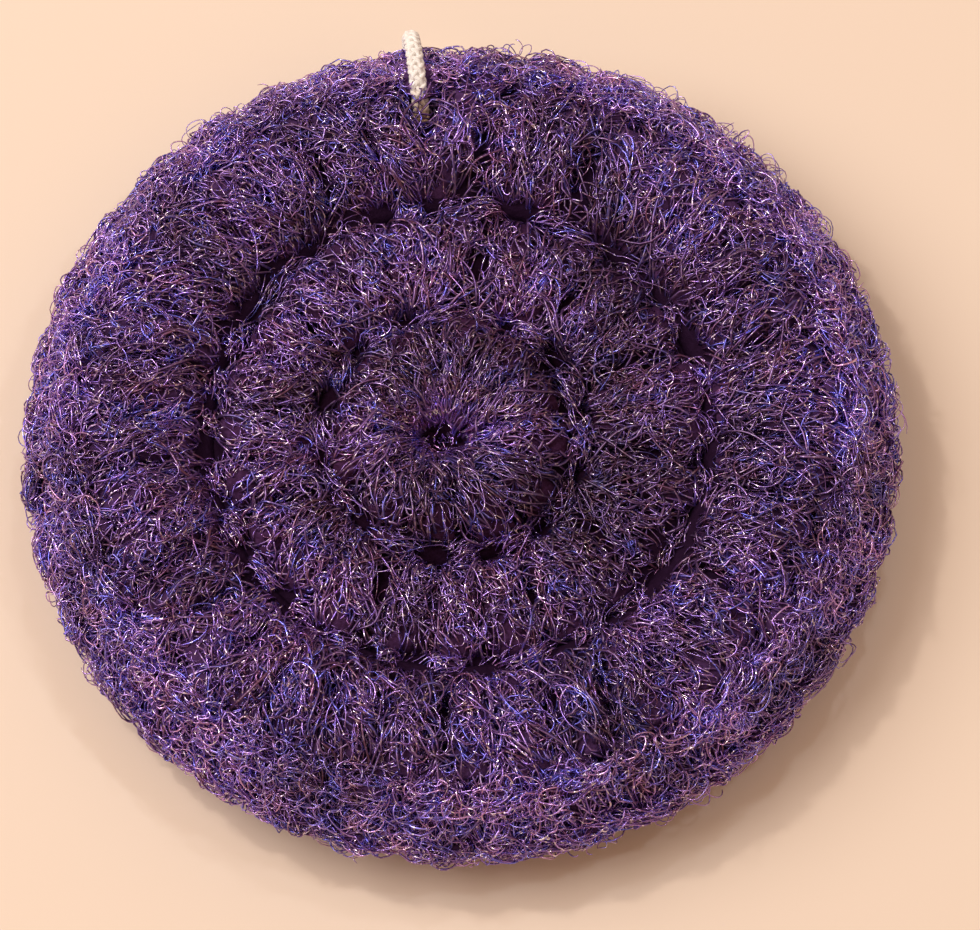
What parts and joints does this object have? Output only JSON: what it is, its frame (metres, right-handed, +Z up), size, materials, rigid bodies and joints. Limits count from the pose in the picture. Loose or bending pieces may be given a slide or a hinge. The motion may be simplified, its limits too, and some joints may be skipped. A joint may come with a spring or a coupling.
{
  "type": "pot scrubber",
  "caption": "Round, thick crocheted scrubber of puffy net stitches in rings, with a knotted hanging cord.",
  "frame": {"origin": "on the table under the middle of the scrubber", "axes": "+Z up, through the thickness; the hanging cord is at the far rim, near +Y"},
  "size_m": [0.1088, 0.1138, 0.019],
  "materials": {
    "net_yarn": "shiny curled nylon filaments",
    "cord": "matt twisted cotton"
  },
  "bodies": {
    "scrubber": {"front_start_ring": "net_yarn", "front_round_1": "net_yarn", "front_chain_1": "net_yarn", "front_round_2": "net_yarn", "front_chain_2": "net_yarn", "front_round_3": "net_yarn", "front_chain_3": "net_yarn", "back_start_ring": "net_yarn", "back_round_1": "net_yarn", "back_chain_1": "net_yarn", "back_round_2": "net_yarn", "back_chain_2": "net_yarn", "back_round_3": "net_yarn", "back_chain_3": "net_yarn", "edge_round": "net_yarn", "edge_chain": "net_yarn"},
    "hanging_cord": {"cord_eye": "cord", "cord_knot": "cord", "cord_loop": "cord"}
  },
  "joints": [
    {"name": "cord_swing", "type": "hinge", "parent": "scrubber", "child": "hanging_cord", "pos_m": [-0.00575, 0.04826, 0.00925], "axis": [0.993, 0.1184, 0], "range_deg": [0, 110]}
  ]
}
